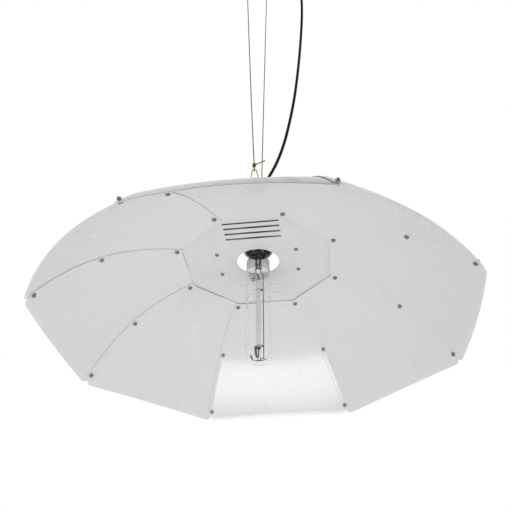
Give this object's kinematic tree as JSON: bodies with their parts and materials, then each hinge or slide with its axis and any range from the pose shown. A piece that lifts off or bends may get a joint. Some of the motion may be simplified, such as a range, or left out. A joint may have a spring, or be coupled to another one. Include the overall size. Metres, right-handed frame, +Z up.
{
  "type": "grow lamp",
  "caption": "Octagonal parabolic sheet-metal grow lamp reflector with a screw-in tubular discharge lamp, hung from a ceiling on two cords, with its mains lead.",
  "frame": {"origin": "in the ceiling plane, midway between the two ceiling hooks, on the lamp's axis", "axes": "+Z up along the lamp's axis, +Y from the front hanging cord to the rear one, +X to the side that the mains lead bows to"},
  "size_m": [0.811, 0.811, 1.397],
  "materials": {
    "white_coat": "gloss white coating on aluminium sheet",
    "zinc_steel": "bright zinc plated",
    "galvanised_steel": "galvanised sheet",
    "yellow_zinc": "yellow passivated wire",
    "porcelain": "white glaze",
    "nickel_brass": "nickel plated brass",
    "brass": "turned brass",
    "spring_steel": "drawn wire",
    "black_cover": "moulded black plastic",
    "black_cable": "smooth black sheath",
    "core_brown": "core insulation",
    "core_blue": "core insulation",
    "core_green": "core insulation",
    "green_cord": "braided polypropylene cord",
    "lamp_glass": "clear hard glass",
    "black_glass": "black glass insulator",
    "alumina": "translucent sintered alumina",
    "niobium": "niobium end plugs",
    "nickel_wire": "nickel plated wire"
  },
  "bodies": {
    "ceiling": {"ceiling_hook_front": "zinc_steel", "ceiling_hook_rear": "zinc_steel"},
    "reflector": {"cap_plate": "white_coat", "petal_1": "white_coat", "petal_2": "white_coat", "petal_3": "white_coat", "petal_4": "white_coat", "petal_5": "white_coat", "petal_6": "white_coat", "petal_7": "white_coat", "petal_8": "white_coat", "cap_seam_screws": "zinc_steel", "mid_seam_screws": "zinc_steel", "rim_seam_screws": "zinc_steel", "cap_seam_nuts": "zinc_steel", "mid_seam_nuts": "zinc_steel", "rim_seam_nuts": "zinc_steel", "seam_washers": "zinc_steel", "holder_bracket": "galvanised_steel", "bracket_screws": "zinc_steel", "bracket_nuts": "zinc_steel", "holder_body": "porcelain", "holder_screw_shell": "nickel_brass", "holder_mount_screws": "zinc_steel", "holder_terminals": "brass", "earth_terminal": "brass", "contact_bush": "brass", "contact_spring": "spring_steel", "wiring_cover": "black_cover", "cover_screws": "zinc_steel", "cable_gland": "black_cover", "gland_locknut": "black_cover", "live_core": "core_brown", "neutral_core": "core_blue", "earth_core": "core_green", "bail_wire_front": "yellow_zinc", "bail_wire_rear": "yellow_zinc", "hang_cord_front": "green_cord", "hang_cord_rear": "green_cord", "lower_knot_front": "green_cord", "lower_knot_rear": "green_cord", "upper_knot_front": "green_cord", "upper_knot_rear": "green_cord", "mains_cable": "black_cable", "cable_coil": "black_cable", "cable_tail": "black_cable", "coil_tie": "black_cover", "plug_body": "black_cover", "plug_pins": "nickel_brass"},
    "contact": {"contact_plunger": "brass"},
    "lamp": {"lamp_envelope": "lamp_glass", "lamp_cap_shell": "nickel_brass", "lamp_cap_insulator": "black_glass", "lamp_cap_contact": "brass", "lamp_stem": "lamp_glass", "arc_tube": "alumina", "arc_end_plugs": "niobium", "lamp_frame_wires": "nickel_wire", "dome_springs": "nickel_wire"}
  },
  "joints": [
    {"name": "swing", "type": "hinge", "parent": "ceiling", "child": "reflector", "pos_m": [0, 0, -0.038], "axis": [0.3511, 0.9363, 0], "range_deg": [-20, 20]},
    {"name": "contact_travel", "type": "slide", "parent": "reflector", "child": "contact", "axis": [0, 0, -1], "range_m": [0, 0.004], "deforming": ["contact_spring"]},
    {"name": "lamp_turn", "type": "hinge", "parent": "contact", "child": "lamp", "pos_m": [0, 0, -1.2], "axis": [0, 0, -1], "range_deg": [0, 226.7]}
  ],
  "couplings": [
    {"joint": "contact_travel", "follows": "lamp_turn", "m_per_rad": 0.0010106}
  ]
}
